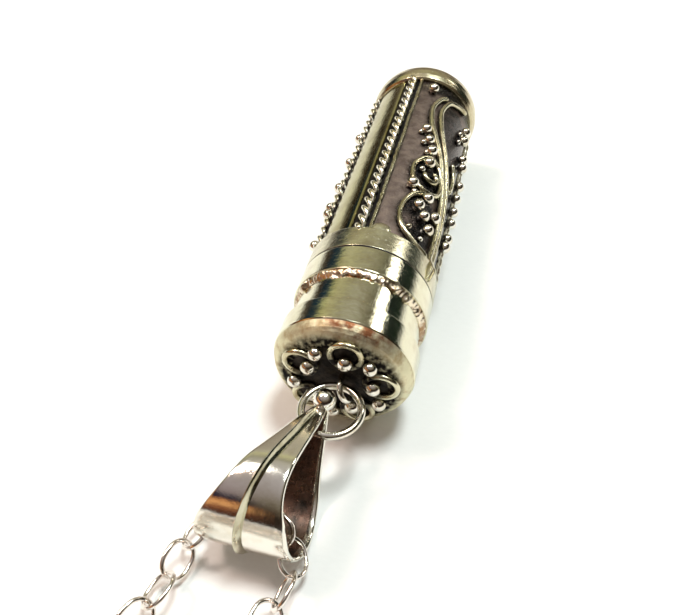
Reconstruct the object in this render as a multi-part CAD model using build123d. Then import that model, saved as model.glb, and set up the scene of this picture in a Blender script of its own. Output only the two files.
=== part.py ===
from build123d import *

import os
from math import asin, cos, degrees, radians, sin, tan

# A silver mezuzah case worn as a pendant: a push-fit capped tube that holds a rolled parchment,
# hung from an eyelet by a jump ring, a folded bail and a cable chain.
# Millimetres. +Z is up and the case lies along Y, cap towards -Y, closed end towards +Y.
# The origin is under the middle of the pendant, on the surface that it lies on.

# Driving dimensions of the case. "Station" is a distance along the case axis from its datum.
CASE_RADIUS = 5.0
AXIS_X = 0.35
DATUM_Y = -8.5
SHEET = 0.38
FIT = 0.05

TUBE_RADIUS = 4.5
TUBE_BORE = TUBE_RADIUS - SHEET
SLEEVE_BORE = TUBE_BORE - 0.27
SLEEVE_START = 1.0
SLEEVE_END = 8.0
TUBE_START = 3.75
SEAM = 5.72
COLLAR_START = SEAM + 0.03
COLLAR_END = 7.85
RIM_START = 29.95
TUBE_END = 31.3
CASE_END = 32.3
RIM_ROUND = 0.95

# Cap stations and radii.
PLATE_FACE = -2.45
PLATE_BACK = -1.75
FLANGE_EDGE = -1.36
FLANGE_END = 0.63
FLANGE_RADIUS = 4.93
NECK_RADIUS = 4.58
NECK_END = 3.02
STEP_END = 3.5
SKIRT_BORE = TUBE_RADIUS + FIT
NECK_BORE = TUBE_BORE + FIT
PLATE_EDGE = NECK_BORE
PLATE_CHAMFER = 0.12

# Decoration. Angles are from straight up, turning towards +X, seen from the cap end.
STRIP_ANGLES = (-40.0, 140.0)
PANEL_ANGLES = (43.0, 223.0)
STRIP_HALF_ANGLE = 17.8
STRIP_HEIGHT = 0.14
ROPE_OFFSET = 28.0
ROPE_DIAMETER = 0.8
BORDER_OFFSET = 37.5
BORDER_DIAMETER = 0.34
WIRE_WIDTH = 0.42
WIRE_TOP = 4.95
LEAF_WIDTH = 0.36
GRANULE_RADIUS = 0.42
GRANULE_LIFT = 0.3

# Wire outlines on a panel: (station, degrees from the panel's reference line).
SCROLL_OUTER = [(27.6, -14), (25.5, -25.6), (23.2, -24.4), (21.6, -18), (20.1, -8), (18.5, 0),
                (17, 7), (15.5, 13), (13.9, 17), (10.3, 20), (7.9, 19)]
SCROLL_INNER = [(28.6, 19), (28, 5), (27.1, -9), (25.1, -16.4), (23.2, -15), (21, -8), (19.8, 1),
                (18.3, 10), (16.2, 18), (13.6, 23.6), (10, 25.5), (7.9, 24.4)]
UPPER_LEAF = [(14.6, 5.5), (13.8, -16), (15.1, -25), (16.5, -25), (17.6, -16), (17.9, -7), (16.6, 1)]
LOWER_LEAF = [(13.6, -7.4), (11.2, -25), (9.5, -24.7), (8.5, -17), (8.3, -2.5), (8.6, 13)]
NARROW_LEAF = [(20.4, 21), (19.6, 27.5), (18.2, 29.5), (17.3, 27)]
GRANULES = [(21.4, -25), (20.2, -19.3), (19, -13.4), (27.7, -29.6), (17.2, -14), (13.7, -21),
            (12.2, -11), (13.1, -3), (10.9, -3), (11.5, 9), (10.1, 5.5), (9.9, -14), (25.5, 22),
            (24.3, 23), (22.7, 32), (23.2, 40), (20.6, 42), (17.6, 40), (15.2, 33), (13.7, 35),
            (11.8, 32)]

# The small curl inside the upper leaf: centre (station, angle), radius, and how far it goes round.
CURL_CENTRE = (15.7, -8)
CURL_RADIUS = 0.55
CURL_ARC = (-150, 270)

# Ornament on the cap's end.
LOOP_COUNT = 5
LOOP_FIRST_ANGLE = 11.0
LOOP_PITCH_RADIUS = 2.95
LOOP_RADIUS = 1.08
LOOP_WIRE = 0.2
INNER_GRANULE_PITCH = 2.2
INNER_GRANULE_RADIUS = 0.55
OUTER_GRANULE_PITCH = 3.3
OUTER_GRANULE_RADIUS = 0.44

# Eyelet and jump ring; the ring lies level at the height of the case axis.
EYELET_X = 0.6
EYELET_HALF_HEIGHT = 0.72
EYELET_STATION = -3.05
EYELET_WIRE = 0.22
RING_X = 0.1
RING_STATION = -4.9
RING_RADIUS = 1.98
RING_WIRE = 0.3

# Bail: a tapered strip folded into a teardrop, seen from the side. Lengths run from its ball.
BALL_X = -0.35
BALL_STATION = -4.5
BALL_RADIUS = 0.7
BALL_HEIGHT = 5.75
BAIL_YAW = 15.3
BAIL_SHEET = 0.35
BAIL_TIP = (0.5, 5.1)
BAIL_FOLD = (6.6, 3.6)
FOLD_RADIUS = 3.6
BAIL_HALF_WIDTHS = [(0.1, 0.4), (2.2, 0.75), (4.5, 1.05), (7.3, 1.6), (9.0, 2.3), (10.3, 3.15)]
RIDGE_WIDTH = 0.4
RIDGE_HEIGHT = 0.5
RIDGE_END_ANGLE = 35.0

# Parchment roll; it rests low in the tube.
ROLL_RADIUS = 3.35
ROLL_CORE = 0.7
ROLL_DROP = 0.35
ROLL_START = -1.2
ROLL_LENGTH = 29.8

# Chain, its coil and its clasp. Places are (X from the case axis, station, height).
CHAIN_DIAMETER = 2.4
STRAND_START = (7.9, 2.35)
COIL_CENTRE = (-3.4, -35.0)
COIL_RADIUS = 13.2
COIL_HOLE = 5.0
COIL_HEIGHT = 2 * CHAIN_DIAMETER
CLASP_HEIGHT = 1.35
CLASP_RADIUS = 2.1
CLASP_TUBE = 0.6
LATCH_BORE = 0.42
LATCH_ROD = 0.33
GAP_HALF_ANGLE = 8.0
LATCH_BORE_END = 118.0
LATCH_FROM = -14.0
LATCH_TO = 74.0
TRIGGER_ANGLE = 62.0
TRIGGER_SLOT = (52.0, 112.0)
CLASP_EYE_RADIUS = 0.75
CLASP_EYE_WIRE = 0.2
CLASP_LINK_RADIUS = 1.1
CLASP_LINK_WIRE = 0.22

AXIS_Z = CASE_RADIUS
CASE = Location(Plane(origin=(AXIS_X, DATUM_Y, AXIS_Z), x_dir=(1, 0, 0), z_dir=(0, 1, 0)))
yaw = radians(BAIL_YAW)
BAIL = Location(
    Plane(
        origin=(AXIS_X + BALL_X, DATUM_Y + BALL_STATION, 0),
        x_dir=(-sin(yaw), -cos(yaw), 0),
        z_dir=(0, 0, 1),
    )
)


def save(name, shape):
    """Writes one named piece."""
    export_step(shape, f"parts/{name}.step")


def on_case(radius, angle, station):
    """A place on the case, in the frame whose Z is the case axis."""
    a = radians(angle)
    return Pos(radius * sin(a), -radius * cos(a), station)


def band(start, end, bore, radius):
    """A plain ring round the case axis."""
    return Pos(0, 0, start) * extrude(Circle(radius) - Circle(bore), end - start)


def turned(*points):
    """A ring or disc turned from an outline of (radius, station) points."""
    outline = make_face(Polyline(*points, close=True))
    return revolve(Plane.XZ * outline, Axis.Z)


def on_surface(shape):
    """Leaves what stands proud of the tube."""
    return shape - Cylinder(TUBE_RADIUS, 2 * CASE_END)


def panel_frame(angle):
    """Frame on a panel: X round the case, Y along it, Z outwards."""
    a = radians(angle)
    return Location(
        Plane(
            origin=(AXIS_X, DATUM_Y, AXIS_Z),
            x_dir=(cos(a), 0, -sin(a)),
            z_dir=(sin(a), 0, cos(a)),
        )
    )


def flat_place(station, turn):
    """A panel's (station, angle) as seen straight on, for drawing on it."""
    return TUBE_RADIUS * sin(radians(turn)), station


def surface_wire(path, width, angle):
    """A wire bent to lie on the tube, below a path drawn straight on to its panel."""
    ribbon = extrude(trace(path, width), 2 * TUBE_RADIUS)
    shell = CASE * band(COLLAR_END, RIM_START, TUBE_RADIUS, WIRE_TOP)
    return panel_frame(angle) * ribbon & shell


def disc(start, end, radius):
    """A plain disc on the case axis."""
    return Pos(0, 0, start) * extrude(Circle(radius), end - start)


def granule(angle, station):
    """A small ball on the tube, flat where it is soldered down."""
    centre = panel_frame(angle) * Pos(0, station, TUBE_RADIUS + GRANULE_LIFT)
    flat = -degrees(asin(GRANULE_LIFT / GRANULE_RADIUS))
    upright = (Align.CENTER, Align.CENTER, Align.NONE)
    return centre * Sphere(GRANULE_RADIUS, arc_size1=flat, align=upright)


def build_tube():
    save("case_tube", CASE * band(TUBE_START, TUBE_END, TUBE_BORE, TUBE_RADIUS))
    save("mouth_sleeve", CASE * band(SLEEVE_START, SLEEVE_END, SLEEVE_BORE, TUBE_BORE))
    save("mouth_collar", CASE * band(COLLAR_START, COLLAR_END, TUBE_RADIUS, CASE_RADIUS))
    rim = band(RIM_START, CASE_END, TUBE_RADIUS, CASE_RADIUS)
    far_edge = rim.edges().filter_by(GeomType.CIRCLE).group_by(Axis.Z)[-1].sort_by(SortBy.RADIUS)[-1]
    save("end_rim", CASE * fillet(far_edge, (CASE_RADIUS - TUBE_RADIUS) * RIM_ROUND))
    save("end_disc", CASE * disc(TUBE_END, CASE_END, TUBE_RADIUS))


def build_strips():
    length = RIM_START - COLLAR_END
    shell = band(COLLAR_END, RIM_START, TUBE_RADIUS, TUBE_RADIUS + STRIP_HEIGHT)
    reach = 2 * CASE_RADIUS
    side = reach * tan(radians(STRIP_HALF_ANGLE))
    wedge = Pos(0, 0, COLLAR_END) * extrude(
        make_face(Polyline((0, 0), (-side, -reach), (side, -reach), close=True)), length
    )
    for number, angle in enumerate(STRIP_ANGLES, start=1):
        save(f"plain_strip_{number}", CASE * (Rot(0, 0, angle) * wedge & shell))
    middle = (COLLAR_END + RIM_START) / 2
    wires = (
        ("rope_wire", ROPE_OFFSET, ROPE_DIAMETER / 2, 0.7),
        ("border_wire", BORDER_OFFSET, BORDER_DIAMETER / 2, 0.7),
    )
    for name, offset, radius, proud in wires:
        places = [angle + side * offset for angle in STRIP_ANGLES for side in (-1, 1)]
        for number, place in enumerate(places, start=1):
            rod = on_case(TUBE_RADIUS + radius * proud, place, middle) * Cylinder(radius, length)
            save(f"{name}_{number}", CASE * on_surface(rod))


def build_panels():
    outlines = {
        "scroll_wire_outer": (SCROLL_OUTER, WIRE_WIDTH),
        "scroll_wire_inner": (SCROLL_INNER, WIRE_WIDTH),
        "upper_leaf_wire": (UPPER_LEAF, LEAF_WIDTH),
        "lower_leaf_wire": (LOWER_LEAF, LEAF_WIDTH),
        "narrow_leaf_wire": (NARROW_LEAF, LEAF_WIDTH),
    }
    for number, angle in enumerate(PANEL_ANGLES, start=1):
        for name, (points, width) in outlines.items():
            path = Spline(*[flat_place(*point) for point in points])
            save(f"{name}_{number}", surface_wire(path, width, angle))
        curl = CenterArc(flat_place(*CURL_CENTRE), CURL_RADIUS, *CURL_ARC)
        save(f"leaf_curl_wire_{number}", surface_wire(curl, LEAF_WIDTH, angle))
        balls = [granule(angle + turn, station) for station, turn in GRANULES]
        save(f"panel_granules_{number}", Compound(children=balls))


def build_cap():
    save("cap_end_plate", CASE * disc(PLATE_FACE, PLATE_BACK, PLATE_EDGE))
    flange = turned(
        (PLATE_EDGE + PLATE_CHAMFER, PLATE_FACE),
        (FLANGE_RADIUS, FLANGE_EDGE),
        (FLANGE_RADIUS, FLANGE_END),
        (NECK_BORE, FLANGE_END),
        (NECK_BORE, PLATE_FACE),
    )
    save("cap_flange", CASE * flange)
    save("cap_neck", CASE * band(FLANGE_END, NECK_END, NECK_BORE, NECK_RADIUS))
    step = turned(
        (NECK_BORE, NECK_END), (NECK_RADIUS, NECK_END), (CASE_RADIUS, STEP_END), (NECK_BORE, STEP_END)
    )
    save("cap_solder_step", CASE * step)
    save("cap_skirt", CASE * band(STEP_END, SEAM, SKIRT_BORE, CASE_RADIUS))


def build_cap_end():
    outside = Pos(0, 0, PLATE_FACE) * Cylinder(
        CASE_RADIUS, CASE_RADIUS, align=(Align.CENTER, Align.CENTER, Align.MAX)
    )
    pitch = 360 / LOOP_COUNT
    angles = [LOOP_FIRST_ANGLE + pitch * number for number in range(LOOP_COUNT)]
    for number, angle in enumerate(angles, start=1):
        loop = on_case(LOOP_PITCH_RADIUS, angle, PLATE_FACE - LOOP_WIRE / 2) * Torus(LOOP_RADIUS, LOOP_WIRE)
        save(f"end_loop_{number}", CASE * (loop & outside))
    rings = (
        ("end_granules_inner", INNER_GRANULE_PITCH, INNER_GRANULE_RADIUS, 0),
        ("end_granules_outer", OUTER_GRANULE_PITCH, OUTER_GRANULE_RADIUS, pitch / 2),
    )
    for name, radius, size, turn in rings:
        balls = [
            on_case(radius, angle + turn, PLATE_FACE - size / 2) * Sphere(size) & outside for angle in angles
        ]
        save(name, CASE * Compound(children=balls))


def build_eyelet():
    top = EYELET_HALF_HEIGHT
    path = Line((0, -top, PLATE_FACE), (0, -top, EYELET_STATION))
    path += ThreePointArc((0, -top, EYELET_STATION), (0, 0, EYELET_STATION - top), (0, top, EYELET_STATION))
    path += Line((0, top, EYELET_STATION), (0, top, PLATE_FACE))
    section = Plane(origin=(0, -top, PLATE_FACE), z_dir=(0, 0, -1)) * Circle(EYELET_WIRE)
    save("eyelet", CASE * Pos(EYELET_X, 0, 0) * sweep(section, path=path))


def build_ring():
    place = Pos(AXIS_X + RING_X, DATUM_Y + RING_STATION, AXIS_Z)
    save("jump_ring", place * Torus(RING_RADIUS, RING_WIRE))


def teardrop(growth):
    """The bail's side outline, grown outwards from the strip's outer face."""
    fold = Pos(*BAIL_FOLD) * Circle(FOLD_RADIUS + growth)
    tip = Pos(*BAIL_TIP) * Circle(BAIL_SHEET * 1.1 + growth)
    return Plane.XZ * make_hull(fold.edges() + tip.edges())


def build_bail():
    wide = 2 * FOLD_RADIUS
    hollow = Pos(*BAIL_FOLD) * Circle(FOLD_RADIUS - BAIL_SHEET) + Pos(*BAIL_TIP) * Circle(BAIL_SHEET * 0.1)
    inside = Plane.XZ * make_hull(hollow.edges())
    loop = extrude(teardrop(0) - inside, wide, both=True)
    side = Spline(*BAIL_HALF_WIDTHS)
    far, half = BAIL_HALF_WIDTHS[-1]
    near, tip_half = BAIL_HALF_WIDTHS[0]
    outline = side + Line((far, half), (far, -half)) + mirror(side, Plane.XZ)
    outline += Line((near, -tip_half), (near, tip_half))
    plan = extrude(make_face(outline), 3 * FOLD_RADIUS)
    save("bail_strip", BAIL * (loop & plan))
    ridge = extrude(teardrop(RIDGE_HEIGHT) - teardrop(0), RIDGE_WIDTH / 2, both=True)
    fold_x, fold_z = BAIL_FOLD
    reach = 3 * FOLD_RADIUS
    drop = reach * tan(radians(RIDGE_END_ANGLE))
    above = Plane.XZ * make_face(
        Polyline(
            (BAIL_TIP[0], BAIL_TIP[1]),
            (fold_x, fold_z),
            (fold_x + reach, fold_z - drop),
            (fold_x + reach, reach),
            (BAIL_TIP[0], reach),
            close=True,
        )
    )
    kept = ridge & extrude(above, wide, both=True)
    ball = Pos(0, 0, BALL_HEIGHT) * Sphere(BALL_RADIUS)
    save("bail_ridge", BAIL * (kept - ball))
    strip_top = extrude(teardrop(0), wide, both=True)
    save("bail_ball", BAIL * (ball - strip_top))


def build_roll():
    tube = band(ROLL_START, ROLL_START + ROLL_LENGTH, ROLL_CORE, ROLL_RADIUS)
    save("parchment_roll", Pos(0, 0, -ROLL_DROP) * CASE * tube)


def strand_places():
    """The two strands' routes, from inside the bail's fold to the coil."""
    along, height = STRAND_START
    start = Vector(BALL_X - along * sin(yaw), BALL_STATION - along * cos(yaw), height)
    across = Vector(cos(yaw), -sin(yaw), 0)
    left = [start, start - across * 5.6, (-9.0, -15.5, 1.3), (-10.6, -20.4, 1.2), (-12.9, -25.2, 1.2),
            (-14.2, -28.9, 1.2)]
    right = [start, start + across * 5.4, (2.7, -18.2, 1.3), (4.0, -22.9, 1.2), (6.6, -26.6, 2.2),
             (8.3, -29.6, 3.5)]
    return left, right


def strand(points):
    """A tube of straight runs joined by tangent arcs, as large as the runs allow."""
    places = [Vector(AXIS_X, DATUM_Y, 0) + Vector(*point) for point in points]
    runs = [b - a for a, b in zip(places, places[1:])]
    radii = []
    for before, after in zip(runs, runs[1:]):
        half_turn = radians(before.get_angle(after)) / 2
        radii.append(0.45 * min(before.length, after.length) / tan(half_turn))
    print("strand radii", [round(radius, 1) for radius in radii])
    path = FilletPolyline(*places, radius=radii)
    section = Plane(origin=places[0], z_dir=runs[0]) * Circle(CHAIN_DIAMETER / 2)
    tube = sweep(section, path=path)
    print("volume / section x length", round(tube.volume / (section.area * path.length), 4))
    print("strand length", round(path.length, 1))
    return tube


def build_chain():
    left, right = strand_places()
    save("chain_strand_left", strand(left))
    save("chain_strand_right", strand(right))
    x, station = COIL_CENTRE
    place = Pos(AXIS_X + x, DATUM_Y + station, 0)
    ring = Circle(COIL_RADIUS) - Circle(COIL_HOLE)
    save("chain_coil", place * extrude(ring, COIL_HEIGHT))


def arc_tube(radius, wire, start, end):
    """A bent rod round Z, between two angles."""
    section = Plane.XZ * Pos(radius, 0) * Circle(wire)
    return Rot(0, 0, start) * revolve(section, Axis.Z, revolution_arc=end - start)


def build_clasp():
    x, station = COIL_CENTRE
    place = Pos(AXIS_X + x, DATUM_Y + station, CLASP_HEIGHT)
    shell = arc_tube(CLASP_RADIUS, CLASP_TUBE, GAP_HALF_ANGLE, 360 - GAP_HALF_ANGLE)
    shell -= arc_tube(CLASP_RADIUS, LATCH_BORE, 0, LATCH_BORE_END)
    shell -= arc_tube(CLASP_RADIUS, LATCH_BORE, LATCH_FROM - GAP_HALF_ANGLE, 0)
    trigger = Rot(0, 0, TRIGGER_ANGLE) * Pos(CLASP_RADIUS + CLASP_TUBE, 0, 0) * Rot(0, 90, 0)
    trigger *= Cylinder(LATCH_ROD / 2, 2 * CLASP_TUBE)
    slot_start, slot_end = TRIGGER_SLOT
    slot_face = Plane.XZ * Pos(CLASP_RADIUS + CLASP_TUBE, 0) * Rectangle(2 * CLASP_TUBE, LATCH_BORE)
    slot = Rot(0, 0, slot_start) * revolve(slot_face, Axis.Z, revolution_arc=slot_end - slot_start)
    shell -= slot
    eye_reach = CLASP_RADIUS + CLASP_TUBE + CLASP_EYE_RADIUS
    eye = Pos(-eye_reach * cos(radians(45)), eye_reach * sin(radians(45)), 0)
    eye *= Torus(CLASP_EYE_RADIUS, CLASP_EYE_WIRE)
    save("clasp_body", place * shell)
    save("clasp_eye", place * (eye - Torus(CLASP_RADIUS, CLASP_TUBE)))
    latch = arc_tube(CLASP_RADIUS, LATCH_ROD, LATCH_FROM, LATCH_TO)
    save("clasp_latch", place * (latch + trigger))
    link_place = Pos(0, -CLASP_RADIUS, 0) * Rot(0, 90, 0)
    save("clasp_link", place * link_place * Torus(CLASP_LINK_RADIUS, CLASP_LINK_WIRE))


os.makedirs("parts", exist_ok=True)
build_tube()
build_strips()
build_panels()
build_cap()
build_cap_end()
build_eyelet()
build_ring()
build_bail()
build_roll()
build_chain()
build_clasp()
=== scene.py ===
from math import acos, asin, atan2, cos, degrees, exp, hypot, pi, radians, sin
from random import Random

import bmesh
import bpy
from mathutils import Matrix, Vector, noise
from mathutils.kdtree import KDTree


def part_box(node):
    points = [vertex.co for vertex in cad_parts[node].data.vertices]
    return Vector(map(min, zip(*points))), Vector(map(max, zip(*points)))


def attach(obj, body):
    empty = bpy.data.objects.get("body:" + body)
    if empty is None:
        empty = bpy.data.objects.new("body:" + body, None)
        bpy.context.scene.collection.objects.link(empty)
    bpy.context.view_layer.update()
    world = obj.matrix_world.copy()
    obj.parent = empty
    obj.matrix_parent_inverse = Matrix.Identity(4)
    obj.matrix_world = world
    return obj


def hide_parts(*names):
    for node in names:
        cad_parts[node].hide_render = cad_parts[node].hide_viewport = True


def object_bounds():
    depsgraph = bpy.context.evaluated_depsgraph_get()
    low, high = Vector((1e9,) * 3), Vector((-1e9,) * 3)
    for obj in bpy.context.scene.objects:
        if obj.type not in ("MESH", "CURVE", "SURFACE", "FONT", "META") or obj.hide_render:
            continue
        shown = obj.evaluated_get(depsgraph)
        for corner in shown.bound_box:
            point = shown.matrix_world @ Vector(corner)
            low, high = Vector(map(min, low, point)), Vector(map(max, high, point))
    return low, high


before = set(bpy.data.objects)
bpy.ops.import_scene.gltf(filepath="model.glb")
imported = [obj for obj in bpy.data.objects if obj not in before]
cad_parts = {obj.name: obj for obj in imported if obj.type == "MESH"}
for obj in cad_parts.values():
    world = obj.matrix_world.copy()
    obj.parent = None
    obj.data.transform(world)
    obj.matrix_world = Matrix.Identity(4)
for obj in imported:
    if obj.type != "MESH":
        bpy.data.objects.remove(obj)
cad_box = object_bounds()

# A silver mezuzah case pendant lying on a pale floor. Lengths below are in millimetres and are
# turned into metres where an object is made. "Station" is a distance along the case axis and
# "angle" goes round it, from straight up towards +X.
MM = 0.001
scene = bpy.context.scene
chance = Random(18)

tube_low, tube_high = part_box("case_tube")
AXIS_X = (tube_low.x + tube_high.x) / 2 / MM
AXIS_Z = (tube_low.z + tube_high.z) / 2 / MM
TUBE_START, TUBE_END = 3.75, 31.3
DATUM_Y = tube_high.y / MM - TUBE_END
TUBE_RADIUS = (tube_high.x - tube_low.x) / 2 / MM
TUBE_BORE = 4.12
COLLAR_START, COLLAR_END = 5.75, 7.85
RIM_START, CASE_END = 29.95, 32.3
PLATE_FACE = -2.45


# --- Camera ---

camera = bpy.data.objects.new("camera", bpy.data.cameras.new("camera"))
camera.data.lens = 37.06
camera.data.sensor_width = 36.0
camera.data.clip_start = 0.001
right = Vector((0.9677, 0.2497, -0.0357))
forward = Vector((-0.1970, 0.6597, -0.7253))
upward = right.cross(forward)
turn = Matrix((right, upward, -forward)).transposed().to_4x4()
camera.matrix_world = Matrix.Translation(Vector((8.95, -38.63, 42.70)) * MM) @ turn
scene.collection.objects.link(camera)
scene.camera = camera


# --- Places ---

def on_case(radius, angle, station):
    """A point beside the case axis."""
    a = radians(angle)
    return Vector((AXIS_X + radius * sin(a), DATUM_Y + station, AXIS_Z + radius * cos(a)))


def beside(x, station, height):
    """A point given by its distance from the case axis, its station and its height."""
    return Vector((AXIS_X + x, DATUM_Y + station, height))


# --- Mesh building ---

def skin(rings, closed=False):
    """Faces joining rings of points; an open run is closed over at both ends."""
    count = len(rings[0])
    points = [point for ring in rings for point in ring]
    faces = []
    for k in range(len(rings) if closed else len(rings) - 1):
        a, b = k * count, (k + 1) % len(rings) * count
        for j in range(count):
            n = (j + 1) % count
            faces.append((a + j, a + n, b + n, b + j))
    if not closed:
        faces.append(tuple(reversed(range(count))))
        faces.append(tuple(range(len(points) - count, len(points))))
    return points, faces


def joined(*shapes):
    """Several shapes as one."""
    points, faces = [], []
    for more_points, more_faces in shapes:
        start = len(points)
        points += more_points
        faces += [tuple(start + k for k in face) for face in more_faces]
    return points, faces


def moved(shape, matrix):
    """A shape carried by a matrix."""
    points, faces = shape
    return [matrix @ point for point in points], faces


def lathe(outline, wobble=0.0):
    """A closed outline of (radius, station, rounding) corners turned round the case axis."""
    turns = 192
    profile = []
    count = len(outline)
    for k, (radius, station, rounding) in enumerate(outline):
        here = Vector((radius, station))
        before = Vector(outline[k - 1][:2]) - here
        after = Vector(outline[(k + 1) % count][:2]) - here
        if rounding == 0:
            profile.append(here)
            continue
        b, a = before.normalized(), after.normalized()
        half = acos(max(-1, min(1, b.dot(a)))) / 2
        reach = rounding / max(0.05, abs(sin(half) / cos(half)))
        reach = min(reach, before.length * 0.45, after.length * 0.45)
        start, end = here + b * reach, here + a * reach
        profile.append(here + b * reach * 1.25)
        for step in range(7):
            t = step / 6
            profile.append(start * (1 - t) ** 2 + here * 2 * t * (1 - t) + end * t**2)
        profile.append(here + a * reach * 1.25)
    rings = []
    for k in range(turns):
        angle = 360 * k / turns
        out = 1 + wobble * noise.noise(Vector((sin(radians(angle)), cos(radians(angle)), outline[0][1])))
        rings.append([on_case(r * out, angle, s) for r, s in profile])
    return skin(rings, closed=True)


def rod(path, radius, closed=False, sides=12, across=None):
    """A round rod along a path.

    radius is one number or one for each point. across sets which way each ring of points is turned.
    """
    count = len(path)
    radii = list(radius) if isinstance(radius, (list, tuple)) else [radius] * count
    path = [Vector(point) for point in path]
    if closed:
        tangents = [(path[(k + 1) % count] - path[k - 1]).normalized() for k in range(count)]
    else:
        tangents = [
            (path[min(k + 1, count - 1)] - path[max(k - 1, 0)]).normalized() for k in range(count)
        ]
    normal = across[0] if across else tangents[0].orthogonal()
    rings = []
    for k in range(count):
        if across:
            normal = across[k]
        normal = (normal - tangents[k] * normal.dot(tangents[k])).normalized()
        side = tangents[k].cross(normal)
        rings.append((path[k], tangents[k], normal, side, radii[k]))
    if not closed:
        steps = (75, 50, 25)
        first, last = rings[0], rings[-1]
        head = [(first[0] - first[1] * first[4] * sin(radians(a)), *first[1:4], first[4] * cos(radians(a)))
                for a in steps]
        tail = [(last[0] + last[1] * last[4] * sin(radians(a)), *last[1:4], last[4] * cos(radians(a)))
                for a in reversed(steps)]
        rings = head + rings + tail
    made = []
    for centre, _, normal, side, size in rings:
        made.append([
            centre + (normal * cos(2 * pi * j / sides) + side * sin(2 * pi * j / sides)) * size
            for j in range(sides)
        ])
    return skin(made, closed)


def ball(centre, radius, outward=None, flatten=1.0, sides=24):
    """A little ball, flattened along its outward direction."""
    outward = (outward or Vector((0, 0, 1))).normalized()
    one = outward.orthogonal().normalized()
    two = outward.cross(one)
    rings = []
    half = sides // 2
    for k in range(1, half):
        a = pi * k / half
        rings.append([
            centre + outward * (-cos(a) * radius * flatten)
            + (one * cos(2 * pi * j / sides) + two * sin(2 * pi * j / sides)) * sin(a) * radius
            for j in range(sides)
        ])
    points, faces = skin(rings)
    faces = faces[:-2]
    points += [centre - outward * radius * flatten, centre + outward * radius * flatten]
    low, high = len(points) - 2, len(points) - 1
    last = (half - 2) * sides
    for j in range(sides):
        n = (j + 1) % sides
        faces.append((low, n, j))
        faces.append((high, last + j, last + n))
    return points, faces


def hoop(centre, radius, wire, axis, turns=64, sides=14, start=0.0, end=360.0, toward=None):
    """A ring of round wire, or part of one."""
    axis = axis.normalized()
    one = (toward or axis.orthogonal()).normalized()
    two = axis.cross(one)
    whole = end - start >= 360
    steps = turns if whole else turns + 1
    path = []
    for k in range(steps):
        a = radians(start + (end - start) * k / turns)
        path.append(centre + (one * cos(a) + two * sin(a)) * radius)
    return rod(path, wire, closed=whole, sides=sides, across=[axis] * steps)


def smooth_line(points, steps=10):
    """A smooth line through points."""
    points = [Vector(p) for p in points]
    ends = [points[0] * 2 - points[1]] + points + [points[-1] * 2 - points[-2]]
    line = []
    for k in range(1, len(ends) - 2):
        a, b, c, d = ends[k - 1:k + 3]
        for step in range(steps):
            t = step / steps
            square = (a * 2 - b * 5 + c * 4 - d) * t**2
            cube = (b * 3 - a - c * 3 + d) * t**3
            line.append((b * 2 + (c - a) * t + square + cube) / 2)
    return line + [points[-1]]


def ease(pairs, x):
    """A smooth value between (place, value) pairs."""
    for (x0, y0), (x1, y1) in zip(pairs, pairs[1:]):
        if x <= x1:
            t = max(0.0, (x - x0) / (x1 - x0))
            return y0 + (y1 - y0) * t * t * (3 - 2 * t)
    return pairs[-1][1]


def make(name, shape, body, slot, material, *replaced, sharp=50):
    """Adds a piece of the object."""
    points, faces = shape
    mesh = bpy.data.meshes.new(name)
    mesh.from_pydata([point * MM for point in points], [], faces)
    work = bmesh.new()
    work.from_mesh(mesh)
    bmesh.ops.recalc_face_normals(work, faces=work.faces)
    work.to_mesh(mesh)
    work.free()
    mesh.shade_smooth()
    mesh.set_sharp_from_angle(angle=radians(sharp))
    mesh.materials.append(material)
    piece = bpy.data.objects.new(name, mesh)
    scene.collection.objects.link(piece)
    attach(piece, body)
    if replaced:
        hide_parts(*replaced)
    return piece


# --- Materials ---

def blank(name):
    """A new material with its tree, its shader and its object coordinates."""
    material = bpy.data.materials.new(name)
    material.use_nodes = True
    tree = material.node_tree
    place = tree.nodes.new("ShaderNodeTexCoord").outputs["Object"]
    return material, tree, tree.nodes["Principled BSDF"], place


def add(tree, kind, values=(), links=(), **settings):
    """Adds a node, sets its inputs and links others' outputs to it."""
    node = tree.nodes.new(kind)
    for key, value in settings.items():
        setattr(node, key, value)
    for key, value in values:
        node.inputs[key].default_value = value
    for key, output in links:
        tree.links.new(output, node.inputs[key])
    return node


def cloud(tree, place, scale, detail=3.0, stretch=(1, 1, 1), rough=0.55):
    """Noise whose features are about 1/scale millimetres across."""
    size = tuple(scale * s / MM for s in stretch)
    spread = add(tree, "ShaderNodeMapping", [("Scale", size)], [("Vector", place)])
    return add(
        tree, "ShaderNodeTexNoise", [("Scale", 1.0), ("Detail", detail), ("Roughness", rough)],
        [("Vector", spread.outputs[0])],
    ).outputs["Fac"]


def ranged(tree, value, from_low, from_high, to_low, to_high):
    """A value carried from one range to another."""
    return add(
        tree, "ShaderNodeMapRange",
        [("From Min", from_low), ("From Max", from_high), ("To Min", to_low), ("To Max", to_high)],
        [("Value", value)],
    ).outputs[0]


def blended(tree, factor, one, two):
    """Two colours mixed; each is a colour or another node's output."""
    node = add(tree, "ShaderNodeMix", links=[(0, factor)], data_type="RGBA")
    for socket, value in ((6, one), (7, two)):
        if isinstance(value, tuple):
            node.inputs[socket].default_value = (*value, 1)
        else:
            tree.links.new(value, node.inputs[socket])
    return node.outputs[2]


def times(tree, one, two):
    """Two values multiplied."""
    return add(tree, "ShaderNodeMath", links=[(0, one), (1, two)], operation="MULTIPLY").outputs[0]


def from_axis(tree, place):
    """The way out from the case axis."""
    spread = add(
        tree, "ShaderNodeVectorMath", [(1, (AXIS_X * MM, 0, AXIS_Z * MM))], [(0, place)],
        operation="SUBTRACT",
    )
    return add(
        tree, "ShaderNodeVectorMath", [(1, (1, 0, 1))], [(0, spread.outputs[0])], operation="MULTIPLY"
    ).outputs[0]


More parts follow.
